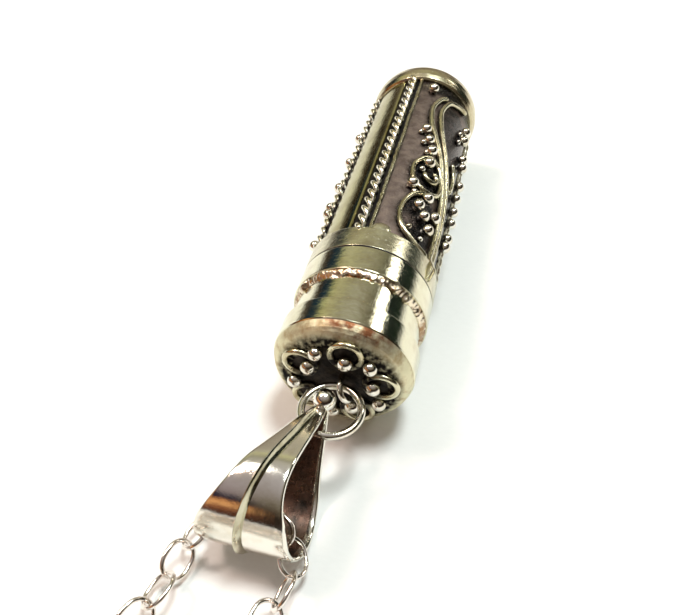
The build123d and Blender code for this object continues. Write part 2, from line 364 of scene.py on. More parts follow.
def depth(tree, place):
    """Distance from the case axis."""
    return add(
        tree, "ShaderNodeVectorMath", links=[(0, from_axis(tree, place))], operation="LENGTH"
    ).outputs["Value"]


# Soot with painted shade in the hollows, and a painted warm reflection on the upper side.
SOOT_AND_SHADE_BROWN, SOOT_AND_SHADE_BLACK, PAINTED_REFLECTION_BROWN = (0.02, 0.017, 0.016), (0.012, 0.012, 0.013), (0.19, 0.075, 0.035)
# The side where the painted warm reflection is brownest.
PAINTED_REFLECTION_SIDE = radians(16)


def metal(name, bright, stain, rough, grain, grain_scale=3.0, stretch=(1, 1, 1), soot_and_shade=None,
          stain_scale=0.5, stain_from=0.45, stain_to=0.7, scratch=0.25, attribute=None, painted_warm_reflection=False):
    """Silver with tarnish, fine grain and fine scratches.

    The soot radii are where the darkening towards the axis is full and where it ends: partly oxide in
    the hollows, partly painted shade. attribute names a mesh attribute that blackens it. The warm switch
    turns its upper side brown: a painted warm reflection.
    """
    material, tree, shader, place = blank(name)
    blotch = cloud(tree, place, stain_scale, 5.0, rough=0.62)
    spots = ranged(tree, blotch, stain_from, stain_to, 0, 1)
    colour = blended(tree, spots, bright, stain)
    fine = cloud(tree, place, grain_scale, 4.0, stretch, 0.6)
    lines = cloud(tree, place, grain_scale * 0.6, 6.0, (9, 0.8, 9), 0.7)
    polish = ranged(tree, fine, 0.25, 0.75, rough[0], rough[1])
    # Darker towards the axis: oxide in the hollows, partly painted shade.
    if soot_and_shade:
        height = depth(tree, place)
        low = ranged(tree, height, soot_and_shade[0] * MM, soot_and_shade[1] * MM, 1, 0)
        ragged = ranged(tree, cloud(tree, place, 2.4, 4.0), 0.3, 0.6, 0.35, 1.25)
        soot_and_shade_mask = times(tree, low, ragged)
        colour = blended(tree, soot_and_shade_mask, colour, SOOT_AND_SHADE_BROWN)
        polish = add(tree, "ShaderNodeMath", [(1, 0.3)], [(0, soot_and_shade_mask), (2, polish)],
                     operation="MULTIPLY_ADD").outputs[0]
    # Painted warm reflection: the upper side turns brown.
    if painted_warm_reflection:
        toward = add(tree, "ShaderNodeVectorMath", [(1, (sin(PAINTED_REFLECTION_SIDE), 0, cos(PAINTED_REFLECTION_SIDE)))],
                     [(0, from_axis(tree, place))], operation="DOT_PRODUCT").outputs["Value"]
        painted_reflection_mask = times(tree, ranged(tree, toward, 3.9 * MM, 4.6 * MM, 0, 1),
                      ranged(tree, cloud(tree, place, 1.5, 4.0), 0.35, 0.6, 0.2, 1.0))
        colour = blended(tree, painted_reflection_mask, colour, PAINTED_REFLECTION_BROWN)
    # The attribute's blackening: oxide, with painted shadow beside the wires and a painted dark reflection.
    if attribute:
        black = add(tree, "ShaderNodeAttribute", attribute_name=attribute).outputs["Fac"]
        oxide_and_painted_shade = times(tree, black, ranged(tree, cloud(tree, place, 2.2, 4.0), 0.3, 0.55, 0.75, 1.1))
        colour = blended(tree, oxide_and_painted_shade, colour, SOOT_AND_SHADE_BLACK)
        polish = add(tree, "ShaderNodeMath", [(1, -0.12)], [(0, oxide_and_painted_shade), (2, polish)],
                     operation="MULTIPLY_ADD").outputs[0]
    tree.links.new(colour, shader.inputs["Base Color"])
    tree.links.new(polish, shader.inputs["Roughness"])
    shader.inputs["Metallic"].default_value = 1.0
    first = add(
        tree, "ShaderNodeBump", [("Strength", grain), ("Distance", 0.04 * MM)], [("Height", fine)]
    )
    second = add(
        tree, "ShaderNodeBump", [("Strength", scratch), ("Distance", 0.015 * MM)],
        [("Height", lines), ("Normal", first.outputs[0])],
    )
    tree.links.new(second.outputs[0], shader.inputs["Normal"])
    return material


YELLOW = (0.58, 0.52, 0.30)
BAND = metal("polished_band_silver", (0.76, 0.75, 0.58), (0.56, 0.50, 0.34), (0.07, 0.18), 0.4, 2.4,
        (1, 1.6, 1), stain_scale=0.7, stain_from=0.45, stain_to=0.8)
COLLAR = metal("collar_silver", (0.68, 0.66, 0.49), (0.42, 0.37, 0.26), (0.16, 0.30), 0.5, 2.4,
        (1, 1.6, 1), stain_scale=0.7, stain_from=0.42, stain_to=0.75)
STRIP = metal("strip_silver", (0.45, 0.43, 0.23), (0.30, 0.26, 0.12), (0.10, 0.20), 0.2, 3.0, (1, 0.35, 1))
RIM = metal("far_rim_silver", (0.62, 0.57, 0.39), (0.42, 0.34, 0.21), (0.14, 0.30), 0.3, 2.2)
# The shoulder's brown upper side is a painted warm reflection.
SHOULDER = metal("cap_shoulder_silver", (0.74, 0.71, 0.50), (0.50, 0.40, 0.23), (0.42, 0.62), 0.9, 2.6,
        soot_and_shade=(3.9, 4.5), stain_scale=1.2, scratch=0.5, painted_warm_reflection=True)
WIRE = metal("wire_silver", (0.62, 0.59, 0.42), (0.36, 0.31, 0.18), (0.12, 0.28), 0.3, 3.5,
        soot_and_shade=(4.55, 4.80))
# The rope's darkening between its strands is painted shade.
ROPE = metal("rope_silver", (0.84, 0.82, 0.68), YELLOW, (0.12, 0.28), 0.3, 3.5, soot_and_shade=(4.74, 4.93))
GRANULE = metal("granule_silver", (0.84, 0.82, 0.74), (0.56, 0.49, 0.36), (0.08, 0.20), 0.2, 2.4,
        soot_and_shade=(4.60, 4.86), stain_scale=0.9)
END_WIRE = metal("end_wire_silver", (0.70, 0.67, 0.48), (0.44, 0.38, 0.22), (0.12, 0.30), 0.35, 3.0,
        soot_and_shade=(2.5, 3.5), stain_scale=0.9)
PANEL = metal("oxidised_panel", (0.235, 0.180, 0.155), (0.125, 0.095, 0.082), (0.26, 0.50), 1.4, 6.0,
        stain_scale=1.3, stain_from=0.38, stain_to=0.62, scratch=0.5, attribute="soot_and_shade")
GROOVE = metal("groove_soot", (0.030, 0.026, 0.026), (0.010, 0.010, 0.012), (0.40, 0.60), 0.8, 5.0)
SOOT = metal("end_plate_soot", (0.045, 0.036, 0.028), (0.010, 0.009, 0.009), (0.34, 0.60), 0.9, 4.0,
        stain_scale=1.1, stain_from=0.35, stain_to=0.6)
SOLDER = metal("rough_solder", (0.84, 0.76, 0.60), (0.34, 0.21, 0.11), (0.12, 0.30), 0.9, 3.5,
        stain_scale=0.9, stain_from=0.48, stain_to=0.62)
BAIL_SILVER = metal("bail_silver", (0.84, 0.82, 0.74), (0.64, 0.57, 0.42), (0.06, 0.17), 0.25, 1.6,
        stain_scale=0.35, stain_from=0.5, stain_to=0.85)
# Dark inside of the bail: painted shade.
BAIL_INSIDE_PAINTED_SHADE = metal("bail_inside_painted_shade", (0.20, 0.13, 0.10), (0.06, 0.06, 0.055), (0.20, 0.36), 0.4, 2.0,
        stain_scale=0.6)
BLADE = metal("bail_ridge_silver", (0.60, 0.58, 0.44), (0.36, 0.33, 0.22), (0.08, 0.20), 0.3, 1.8,
        stain_scale=0.5)
RING = metal("ring_silver", (0.84, 0.82, 0.74), (0.62, 0.56, 0.42), (0.07, 0.20), 0.2, 2.0)
CHAIN = metal("chain_silver", (0.90, 0.85, 0.80), (0.66, 0.58, 0.50), (0.08, 0.24), 0.25, 2.4)
LINING = metal("bore_silver", (0.62, 0.60, 0.50), (0.40, 0.36, 0.26), (0.28, 0.42), 0.5, 3.0)


def paper(name, pale, dark, grain):
    """Matt material with fibres."""
    material, tree, shader, place = blank(name)
    fibres = cloud(tree, place, 1.2, 6.0, (1, 3, 1), 0.7)
    colour = blended(tree, ranged(tree, fibres, 0.3, 0.7, 0, 1), dark, pale)
    tree.links.new(colour, shader.inputs["Base Color"])
    tree.links.new(ranged(tree, fibres, 0.2, 0.8, 0.62, 0.82), shader.inputs["Roughness"])
    bump = add(
        tree, "ShaderNodeBump", [("Strength", grain), ("Distance", 0.03 * MM)], [("Height", fibres)]
    )
    tree.links.new(bump.outputs[0], shader.inputs["Normal"])
    return material


PARCHMENT = paper("parchment", (0.80, 0.70, 0.50), (0.66, 0.53, 0.34), 0.5)
FLOOR = paper("pale_floor", (0.90, 0.90, 0.89), (0.87, 0.87, 0.86), 0.05)


# --- Chain ---

COIL = (-3.4, -35.0)
LOW, HIGH = 1.2, 3.6
CLASP_RADIUS, CLASP_HEIGHT = 2.1, 1.35
PITCH = 2.0
LINK_LENGTH, LINK_WIDTH, LINK_WIRE = 2.68, 2.25, 0.29

# From inside the bail to the coil, through the clasp in its middle, and back to the bail.
leaving = [(-2.3, -11.9, 2.3), (-5.9, -12.2, 1.9), (-6.9, -14.4, 1.35), (-7.3, -16.8, LOW),
           (-8.2, -19.6, LOW), (-10.0, -22.8, LOW), (-12.6, -25.8, LOW)]
clasp_eye, clasp_link = (-2.44, 2.44), (0.0, -2.1)
inside = [(0.6, 6.1, LOW), (-1.7, 5.2, LOW), (-2.5, 3.9, LOW), (-2.44, 2.44, CLASP_HEIGHT),
          (-2.2, 0.3, CLASP_HEIGHT), (-1.3, -1.4, CLASP_HEIGHT), (0.0, -2.3, CLASP_HEIGHT),
          (0.5, -4.0, 1.6), (2.4, -5.6, 2.6)]
returning = [(6.0, -26.2, 2.2), (2.6, -23.2, 1.35), (-0.3, -20.4, LOW), (-0.9, -17.8, LOW),
             (0.1, -15.4, 1.3), (-0.1, -12.9, 1.9), (-2.3, -11.9, 2.3)]


def coil_turns(first, last, radius, end_radius, height):
    """Points of a flat coil, 15 to a turn."""
    steps = round((last - first) / 24)
    made = []
    for k in range(steps + 1):
        a = radians(first + (last - first) * k / steps)
        r = radius + (end_radius - radius) * k / steps + 0.12 * sin(5.3 * a)
        made.append((COIL[0] + r * cos(a), COIL[1] + r * sin(a), height))
    return made


route = leaving + coil_turns(153, 1140, 12.0, 6.1, LOW)
route += [(COIL[0] + x, COIL[1] + y, z) for x, y, z in inside]
route += coil_turns(315, 1464, 6.2, 12.0, HIGH) + returning
curve = bpy.data.curves.new("chain_route", "CURVE")
curve.dimensions = "3D"
curve.resolution_u = 12
spline = curve.splines.new("NURBS")
spline.points.add(len(route) - 1)
for point, place in zip(spline.points, route):
    point.co = (*(beside(*place) * MM), 1)
spline.order_u = 3
spline.use_endpoint_u = True
guide = bpy.data.objects.new("chain_route", curve)
scene.collection.objects.link(guide)
bpy.context.view_layer.update()
line = bpy.data.meshes.new_from_object(guide.evaluated_get(bpy.context.evaluated_depsgraph_get()))
path = [vertex.co / MM for vertex in line.vertices]
bpy.data.objects.remove(guide)


def along(path, distance):
    """The point and the direction at a distance along a path."""
    for a, b in zip(path, path[1:]):
        step = (b - a).length
        if distance <= step:
            return a + (b - a) * (distance / step), (b - a).normalized()
        distance -= step
    return path[-1], (path[-1] - path[-2]).normalized()


def nearest(path, place):
    """How far along a path a place is, and how long the path is."""
    travelled, best, found = 0.0, 1e9, 0.0
    for a, b in zip(path, path[1:]):
        if (a - place).length < best:
            best, found = (a - place).length, travelled
        travelled += (b - a).length
    return found, travelled


def link_shape():
    """One oval link of round wire, lying along X."""
    half = LINK_WIDTH / 2 - LINK_WIRE / 2
    straight = LINK_LENGTH / 2 - LINK_WIRE / 2 - half
    loop = []
    for end in (1, -1):
        for k in range(13):
            a = radians(-90 + 15 * k)
            loop.append(Vector((end * (straight + half * cos(a)), end * half * sin(a), 0)))
    return rod(loop, LINK_WIRE / 2, closed=True, sides=12, across=[Vector((0, 0, 1))] * len(loop))


def links(path, start, end, first):
    """Interlocked links from one place on a path to another, turned by quarter turns."""
    pattern = link_shape()
    count = round((end - start) / PITCH)
    made = []
    for k in range(count + 1):
        centre, ahead = along(path, start + (end - start) * k / count)
        side = Vector((0, 0, 1)).cross(ahead).normalized()
        upright = ahead.cross(side)
        roll = radians(first + 90 * (k % 2) + chance.uniform(-9, 9))
        wide = side * cos(roll) + upright * sin(roll)
        flat = ahead.cross(wide)
        matrix = Matrix((ahead, wide, flat)).transposed().to_4x4()
        made.append(moved(pattern, Matrix.Translation(centre) @ matrix))
    return joined(*made)


eye_place = beside(COIL[0] + clasp_eye[0], COIL[1] + clasp_eye[1], CLASP_HEIGHT)
link_place = beside(COIL[0] + clasp_link[0], COIL[1] + clasp_link[1] - 0.2, CLASP_HEIGHT)
eye_at, route_length = nearest(path, eye_place)
link_at, _ = nearest(path, link_place)
chain = make(
    "chain_links",
    joined(links(path, 0.6, eye_at - 1.6, 38), links(path, link_at + 1.9, route_length - 0.9, 38)),
    "chain", "chain_silver", CHAIN, "chain_strand_left", "chain_strand_right", "chain_coil",
)

clasp_centre = beside(COIL[0], COIL[1], CLASP_HEIGHT)
up = Vector((0, 0, 1))
east = Vector((1, 0, 0))
clasp_shell = make(
    "clasp_shell",
    joined(
        hoop(clasp_centre, CLASP_RADIUS, 0.6, up, 72, 20, 8, 352, east),
        hoop(clasp_centre, CLASP_RADIUS, 0.66, up, 6, 20, 9, 14, east),
        hoop(clasp_centre, CLASP_RADIUS, 0.66, up, 6, 20, 346, 351, east),
    ),
    "chain", "chain_silver", RING, "clasp_body",
)
clasp_ring = make(
    "clasp_eye_ring", hoop(eye_place, 0.75, 0.2, up, 40), "chain", "chain_silver", RING, "clasp_eye"
)
clasp_joiner = make(
    "clasp_joining_link", hoop(clasp_centre - Vector((0, CLASP_RADIUS, 0)), 1.1, 0.22, east, 48),
    "chain", "chain_silver", CHAIN, "clasp_link",
)
trigger_out = Matrix.Rotation(radians(62), 3, "Z") @ east
clasp_bolt = make(
    "clasp_bolt",
    joined(
        hoop(clasp_centre, CLASP_RADIUS, 0.33, up, 40, 14, -14, 74, east),
        rod([clasp_centre + trigger_out * 2.2, clasp_centre + trigger_out * 3.2], 0.17),
        ball(clasp_centre + trigger_out * 3.25, 0.26, trigger_out),
    ),
    "clasp_latch", "chain_silver", RING, "clasp_latch",
)


# --- Case ---

STRIP_ANGLES = (-40, 140)
PANEL_ANGLES = (43, 223)
PANEL_HALF_ANGLE = 52
ROPE_OFFSET, BORDER_OFFSET = 28, 37.5
GROOVE_FROM, GROOVE_TO = 16, 37

make("mouth_lining", lathe([(3.85, 1.0, 0.08), (4.12, 1.0, 0.08), (4.12, 8.0, 0), (3.85, 8.0, 0.05)]),
     "case", "plain_silver", LINING, "mouth_sleeve")
lobe = ball(on_case(4.66, 7, 8.15), 0.72, on_case(1, 7, 0) - on_case(0, 7, 0), 0.32, 40)
make("collar_band", joined(lathe([(4.5, COLLAR_START + 0.08, 0), (5.0, COLLAR_START + 0.08, 0.03),
        (5.0, COLLAR_END, 0.1), (4.5, COLLAR_END, 0)], wobble=0.0015), lobe),
     "case", "polished_silver", COLLAR, "mouth_collar")
make("seam_soot", lathe([(4.5, COLLAR_START - 0.06, 0), (4.97, COLLAR_START - 0.06, 0),
        (4.97, COLLAR_START + 0.09, 0), (4.5, COLLAR_START + 0.09, 0)]),
     "case", "blackened_silver", GROOVE)
# A dark ring at the collar's upper edge: soot with a painted step shadow.
make("collar_soot_and_shadow", lathe([(4.49, COLLAR_END - 0.05, 0), (4.93, COLLAR_END - 0.05, 0),
        (4.93, COLLAR_END + 0.02, 0), (4.55, COLLAR_END + 0.1, 0.02),
        (4.49, COLLAR_END + 0.1, 0)]),
     "case", "blackened_silver", GROOVE)
make("far_rim", lathe([(4.5, RIM_START, 0), (4.7, RIM_START, 0.05), (4.88, 30.1, 0.12), (5.02, 30.6, 0.5),
        (5.04, 31.2, 0.5), (4.95, 31.8, 0.5), (4.72, 32.2, 0.3), (4.4, CASE_END, 0.15),
        (4.25, 32.12, 0.1), (4.5, 31.9, 0)]),
     "case", "polished_silver", RIM, "end_rim")
make("far_disc", lathe([(0.02, TUBE_END, 0), (4.49, TUBE_END, 0), (4.49, 32.05, 0), (4.2, 32.12, 0.1),
        (2.6, 32.2, 0.4), (0.02, 32.24, 0)], wobble=0.002),
     "case", "plain_silver", BAND, "end_disc")


# (degrees from the middle of a strip, height over the tube) round its section.
STRIP_SECTION = [(-18.2, -0.05), (-18, 0.07), (-17.3, 0.14), (-15.5, 0.16), (-11, 0.15), (-6, 0.145),
                 (0, 0.14), (6, 0.145), (11, 0.15), (15.5, 0.16), (17.3, 0.14), (18, 0.07), (18.2, -0.05),
                 (0, -0.06)]


def strip(angle):
    """A plain strip with soft edges, a little flatter than the tube."""
    rings = []
    for k in range(60):
        station = COLLAR_END - 0.05 + (RIM_START + 0.1 - COLLAR_END) * k / 59
        ring = []
        for turn, height in STRIP_SECTION:
            wave = 0.012 * noise.noise(Vector((turn / 9, station / 2.2, angle)))
            ring.append(on_case(TUBE_RADIUS + height + wave, angle + turn, station))
        rings.append(ring)
    return skin(rings)


def rope(angle):
    """Two strands twisted together, soldered along the tube."""
    lead, offset, strand, seat = 2.1, 0.23, 0.2, 4.74
    start = chance.uniform(0, 360)
    shapes = []
    for first in (0, 180):
        centres = []
        steps = 260
        for k in range(steps + 1):
            station = COLLAR_END - 0.1 + (RIM_START + 0.15 - COLLAR_END) * k / steps
            a = radians(start + first + 360 * station / lead)
            lift = seat + offset * cos(a) + 0.02 * noise.noise(Vector((station, angle, 0)))
            centres.append(on_case(lift, angle - degrees(offset * sin(a) / 4.8), station))
        shapes.append(rod(centres, strand, sides=12))
    return joined(*shapes)


def border(angle):
    """A thin straight wire that wavers a little."""
    centres, radii = [], []
    for k in range(120):
        station = COLLAR_END - 0.1 + (RIM_START + 0.15 - COLLAR_END) * k / 119
        waver = noise.noise(Vector((station / 2.5, angle, 1)))
        centres.append(on_case(4.6, angle + waver * 0.6, station))
        radii.append(0.165 + 0.02 * noise.noise(Vector((station, angle, 4))))
    return rod(centres, radii, sides=12)


for number, angle in enumerate(STRIP_ANGLES, start=1):
    make(f"strip_band_{number}", strip(angle), "case", "plain_silver", STRIP, f"plain_strip_{number}")
number = 0
for angle in STRIP_ANGLES:
    for side in (-1, 1):
        number += 1
        twisted = rope(angle + side * ROPE_OFFSET)
        make(f"rope_{number}", twisted, "case", "wire_silver", ROPE, f"rope_wire_{number}")
        plain = border(angle + side * BORDER_OFFSET)
        make(f"border_{number}", plain, "case", "wire_silver", WIRE, f"border_wire_{number}")

# Wire outlines on a panel: (station, degrees from the panel's reference line).
SCROLL_OUTER = [(27.9, -13), (27.3, -19), (25.6, -24.6), (23.4, -21.2), (21.8, -13), (20.4, -5), (18.8, 3),
                (17.2, 9.5), (15.6, 15), (13.9, 18.7), (10.6, 21.5), (7.9, 20), (6.9, 19), (6.1, 18.6)]
SCROLL_INNER = [(28.8, 19), (28.3, 5), (27.6, -7), (25.6, -13.4), (23.5, -9), (21.6, -1), (20.2, 6),
                (18.6, 13), (16.6, 20.5), (13.8, 25.8), (10.2, 27.4), (7.9, 25.8), (6.9, 24.2), (6.2, 23.2)]
UPPER_LEAF = [(18.1, 1.5), (17.2, 7.5), (15.9, 10.6), (14.9, 7.5), (14.4, -1), (14.4, -13), (15.4, -24),
              (16.9, -26), (18.1, -18.5), (18.6, -9), (18.2, 0)]
LOWER_LEAF = [(14.0, -8), (13.3, -18), (11.9, -25.3), (10.3, -25.2), (9.1, -18), (8.3, -3), (7.9, 10)]
NARROW_LEAF = [(20.4, 21), (19.6, 27.5), (18.2, 29.5), (17.3, 27)]
# Balls beside the wires, as (station, degrees); EDGE_GRANULES are on the second panel only.
GRANULES = [(21.9, -24), (20.6, -18), (19.3, -12.5), (28.4, -29.2), (17.6, -11.5), (14.3, -21.5),
            (13.5, -3), (12.2, -10), (11.4, -2), (12.2, 10), (10.4, 6), (26.2, 25), (24.9, 25.5),
            (23.0, 34), (22.2, 38), (19.9, 42), (18.4, 44), (16.7, 45), (15.2, 45.5), (13.0, 43.5),
            (11.7, 40)]
SMALL_GRANULES = [(21.5, -28.5), (20.2, -22.5), (19.0, -17), (16.7, -16), (13.6, -17), (9.6, -13), (9.2, 2),
                  (25.4, 20), (24.2, 20)]
EDGE_GRANULES = [(24.9, 56), (21.0, 56), (17.2, 56), (14.3, 57), (13.5, 56.5), (9.4, 57)]
CURL_CENTRE, CURL_RADIUS = (16.4, -5), 0.6
WIRE_SEAT, UNROLLED_RADIUS = 4.7, 4.6


def surface_rod(places, angle, size):
    """A wire soldered to the tube; where it reaches the collar it climbs on to it and thins."""
    fine = smooth_line([(station, turn, 0) for station, turn in places], 9)
    centres, radii = [], []
    for station, turn, _ in fine:
        sideways = asin(max(-1, min(1, TUBE_RADIUS * sin(radians(turn)) / WIRE_SEAT)))
        lift = ease([(7.2, 0.36), (8.5, 0.0)], station)
        centres.append(on_case(WIRE_SEAT + lift, angle + degrees(sideways), station))
        radii.append(size * ease([(5.9, 0.3), (7.6, 1.0)], station)
                     * (1 + 0.06 * noise.noise(Vector((station, turn / 9, size)))))
    across = [(point - on_case(0, 0, place[0])).normalized() for point, place in zip(centres, fine)]
    return rod(centres, radii, sides=14, across=across)


def curl_places():
    """The small open curl inside the upper leaf."""
    return [
        (CURL_CENTRE[0] + CURL_RADIUS * sin(radians(a)),
         CURL_CENTRE[1] + degrees(CURL_RADIUS * cos(radians(a)) / TUBE_RADIUS))
        for a in range(-170, 61, 23)
    ]


def on_flat(station, turn):
    """A place on the unrolled panel, in millimetres round and along."""
    return Vector((radians(turn) * UNROLLED_RADIUS, station, 0))


def unrolled(outline):
    """A wire's places on the unrolled panel."""
    line = smooth_line([(station, turn, 0) for station, turn in outline], 8)
    return [on_flat(station, turn) for station, turn, _ in line]


def within(place, outline):
    """Whether a place on the flat lies inside a closed outline."""
    inside = False
    for one, two in zip(outline, outline[1:] + outline[:1]):
        if (one.y > place.y) != (two.y > place.y):
            if place.x < one.x + (two.x - one.x) * (place.y - one.y) / (two.y - one.y):
                inside = not inside
    return inside


def soot_and_shade_map():
    """How black each place on a panel is: blackening inside the loops and under the far rim, painted shadow
    beside the wires and round the granules, and a painted dark reflection in the hollow of the scroll.
    """
    outlines = (SCROLL_OUTER, SCROLL_INNER, UPPER_LEAF, LOWER_LEAF, NARROW_LEAF)
    wires = [unrolled(outline) for outline in outlines]
    near = KDTree(sum(len(wire) for wire in wires) + len(GRANULES))
    for wire in wires:
        for point in wire:
            near.insert(point, 0)
    for station, turn in GRANULES:
        near.insert(on_flat(station, turn), 1)
    near.balance()
    edge = sorted((point.y, point.x) for point in unrolled(SCROLL_INNER[3:]))
    leaves = wires[2], wires[3] + [on_flat(9.5, 16), on_flat(13.2, 15)]
    scroll_turn = 25.1

    def soot_and_shade(station, turn):
        place = on_flat(station, turn)
        close = near.find(place)[2]
        # Painted shadow beside the wires and round the granules.
        black = 0.85 * exp(-((close / 0.33) ** 2))
        for leaf in leaves:
            if within(place, leaf):
                patch = (place - on_flat(10.6, -17)).length
                black = max(black, 0.95 - 0.55 * exp(-((patch / 0.7) ** 2)))
        # Painted dark reflection of bare polished metal in the hollow beyond the inner scroll wire.
        if place.x > ease(edge, station) and station < scroll_turn:
            black = max(black, 0.72)
        if station > scroll_turn:
            far_end = ease([(27.9, 0), (28.7, 1)], station)
            black = max(black, far_end if turn > -32 else far_end * 0.5)
            # Painted dark reflection inside the scroll's top hook.
            if (place - on_flat(24.2, 8)).length < 3.4 and turn > -14:
                black = max(black, 0.75)
        return black

    return soot_and_shade


def tube_shell():
    """The tube, the finish of each face (0 panel, 1 groove, 2 bore) and the darkening at each point:
    blackening with painted shadow and a painted dark reflection.
    """
    soot_and_shade_at = soot_and_shade_map()
    stations = [TUBE_START] + [8 + 0.3 * k for k in range(74)] + [TUBE_END]
    rings, marks, soot_and_shade = [], [], []
    step = 1.5
    for k in range(240):
        angle = k * step
        ring = [on_case(TUBE_BORE, angle, TUBE_START)]
        ring += [on_case(TUBE_RADIUS, angle, station) for station in stations]
        ring.append(on_case(TUBE_BORE, angle, TUBE_END))
        rings.append(ring)
        turns = [(angle - middle + 180) % 360 - 180 for middle in PANEL_ANGLES]
        turn = min(turns, key=abs)
        panel = abs(turn) < PANEL_HALF_ANGLE
        soot_and_shade += [0.0] + [soot_and_shade_at(station, turn) if panel else 0.0 for station in stations] + [0.0]
        off = min(abs((angle + step / 2 - middle + 180) % 360 - 180) for middle in STRIP_ANGLES)
        marks += [2, 2] + [1 if GROOVE_FROM < off < GROOVE_TO else 0] * (len(stations) - 2) + [2, 2]
    return skin(rings, closed=True), marks, soot_and_shade


shape, marks, soot_and_shade = tube_shell()
tube = make("tube_shell", shape, "case", "oxidised_silver", PANEL, "case_tube")
tube.data.materials.append(GROOVE)
tube.data.materials.append(LINING)
for face, mark in zip(tube.data.polygons, marks):
    face.material_index = mark
layer = tube.data.attributes.new("soot_and_shade", "FLOAT", "POINT")
layer.data.foreach_set("value", soot_and_shade)


OUTLINES = {
    "scroll_outer": (SCROLL_OUTER, 0.24, "scroll_wire_outer"),
    "scroll_inner": (SCROLL_INNER, 0.23, "scroll_wire_inner"),
    "upper_leaf": (UPPER_LEAF, 0.21, "upper_leaf_wire"),
    "lower_leaf": (LOWER_LEAF, 0.21, "lower_leaf_wire"),
    "narrow_leaf": (NARROW_LEAF, 0.20, "narrow_leaf_wire"),
    "leaf_curl": (curl_places(), 0.20, "leaf_curl_wire"),
}
for number, angle in enumerate(PANEL_ANGLES, start=1):
    for name, (places, size, node) in OUTLINES.items():
        wire = surface_rod(places, angle, size)
        make(f"{name}_{number}", wire, "case", "wire_silver", WIRE, f"{node}_{number}")
    balls = []
    for station, turn in GRANULES:
        size = chance.uniform(0.44, 0.50)
        centre = on_case(TUBE_RADIUS + size * (1.0 if turn > 24 else 0.85), angle + turn, station)
        outward = centre - on_case(0, 0, station)
        balls.append(ball(centre, size, outward, chance.uniform(0.9, 1.0)))
        foot = on_case(TUBE_RADIUS - 0.02, angle + turn, station)
        balls.append(hoop(foot, size * 0.62, 0.1, outward, 24, 8))
    if number == 2:
        for station, turn in EDGE_GRANULES:
            balls.append(ball(on_case(5.08, angle + turn, station), 0.47))
    for station, turn in SMALL_GRANULES:
        balls.append(ball(on_case(TUBE_RADIUS + 0.18, angle + turn, station), chance.uniform(0.22, 0.28)))
    make(f"granules_{number}", joined(*balls), "case", "granule_silver", GRANULE,
         f"panel_granules_{number}")


# --- Cap ---

plate = PLATE_FACE - 0.02
make("cap_dome", lathe([(0.02, -1.75, 0), (4.17, -1.75, 0), (4.35, -2.2, 0), (4.2, -2.33, 0),
                        (3.9, -2.42, 0), (3.6, plate, 0), (1.8, plate, 0), (0.02, plate, 0)]),
     "cap", "blackened_silver", SOOT, "cap_end_plate")
TAPER_START = -1.37
flange = lathe([(4.17, 0.63, 0), (4.17, -1.9, 0), (3.3, -2.46, 0), (3.6, -2.5, 0.05), (4.0, -2.43, 0.2),
                (4.3, -2.3, 0.2), (4.55, -2.12, 0.2), (4.74, -1.88, 0.2), (4.87, -1.6, 0.2),
                (4.93, -1.38, 0.02), (5.0, -1.3, 0.03), (5.0, 0.55, 0.08), (4.9, 0.63, 0.03)],
               wobble=0.002)
shoulder = make("cap_shoulder", flange, "cap", "polished_silver", BAND, "cap_flange")
shoulder.data.materials.append(SHOULDER)
for face in shoulder.data.polygons:
    if face.center.y / MM - DATUM_Y < TAPER_START:
        face.material_index = 1
make("cap_neck_band", lathe([(4.17, 0.6, 0), (4.58, 0.6, 0), (4.58, 3.1, 0), (4.17, 3.1, 0)], wobble=0.002),
     "cap", "polished_silver", BAND, "cap_neck")
make("cap_skirt_band", lathe([(4.55, 3.42, 0), (5.0, 3.42, 0.06), (5.0, 5.7, 0.05), (4.55, 5.7, 0.04)],
                             wobble=0.0015),
     "cap", "polished_silver", BAND, "cap_skirt")


def solder_ledge():
    """A granular ledge of solder between the neck and the skirt."""
    outline = [(4.17, 3.0), (4.5, 2.9), (4.6, 2.94), (4.68, 3.02), (4.76, 3.12), (4.82, 3.22),
               (4.87, 3.32), (4.9, 3.42), (4.86, 3.5), (4.6, 3.5), (4.17, 3.5)]
    rings = []
    for k in range(420):
        angle = 360 * k / 420
        ring = []
        for number, (radius, station) in enumerate(outline):
            loose = 1.0 if 0 < number < 8 else 0.0
            place = Vector((radius * sin(radians(angle)), station * 1.3, radius * cos(radians(angle))))
            rough = noise.noise(place * 2.6) * 0.07 + noise.noise(place * 6.5) * 0.06
            lump = max(0.0, noise.noise(place * 1.3 + Vector((9, 4, 2))) - 0.22) * 0.5
            out, along_case = loose * (rough + lump * 0.5), loose * (rough * 0.8 + lump)
            ring.append(on_case(radius + out, angle, station - along_case))
        rings.append(ring)
    return skin(rings, closed=True)


make("solder_ledge", solder_ledge(), "cap", "rough_silver", SOLDER, "cap_solder_step", sharp=75)

axis = Vector((0, 1, 0))
LOOP_ANGLES = [11 + 72 * k for k in range(5)]
for number, angle in enumerate(LOOP_ANGLES, start=1):
    centre = on_case(2.95, angle, PLATE_FACE - 0.14)
    outward = (on_case(1, angle, 0) - on_case(0, 0, 0)).normalized()
    path_points = []
    for k in range(48):
        a = radians(7.5 * k)
        long = 1.1 + 0.03 * noise.noise(Vector((k / 6, number, 0)))
        path_points.append(centre + outward * cos(a) * long + axis.cross(outward) * sin(a) * 1.06)
    wire = rod(path_points, 0.215, closed=True, sides=14, across=[axis] * 48)
    make(f"end_ring_{number}", wire, "cap", "wire_silver", END_WIRE, f"end_loop_{number}")
inner, outer = [], []
for angle in LOOP_ANGLES:
    turn = angle + 2.5 + chance.uniform(-2, 2)
    inner.append(ball(on_case(2.42, turn, PLATE_FACE - 0.32), 0.55, -axis, 0.95, 32))
    outer.append(ball(on_case(3.15, angle + 34, PLATE_FACE - 0.30), 0.51, -axis, 0.95, 32))
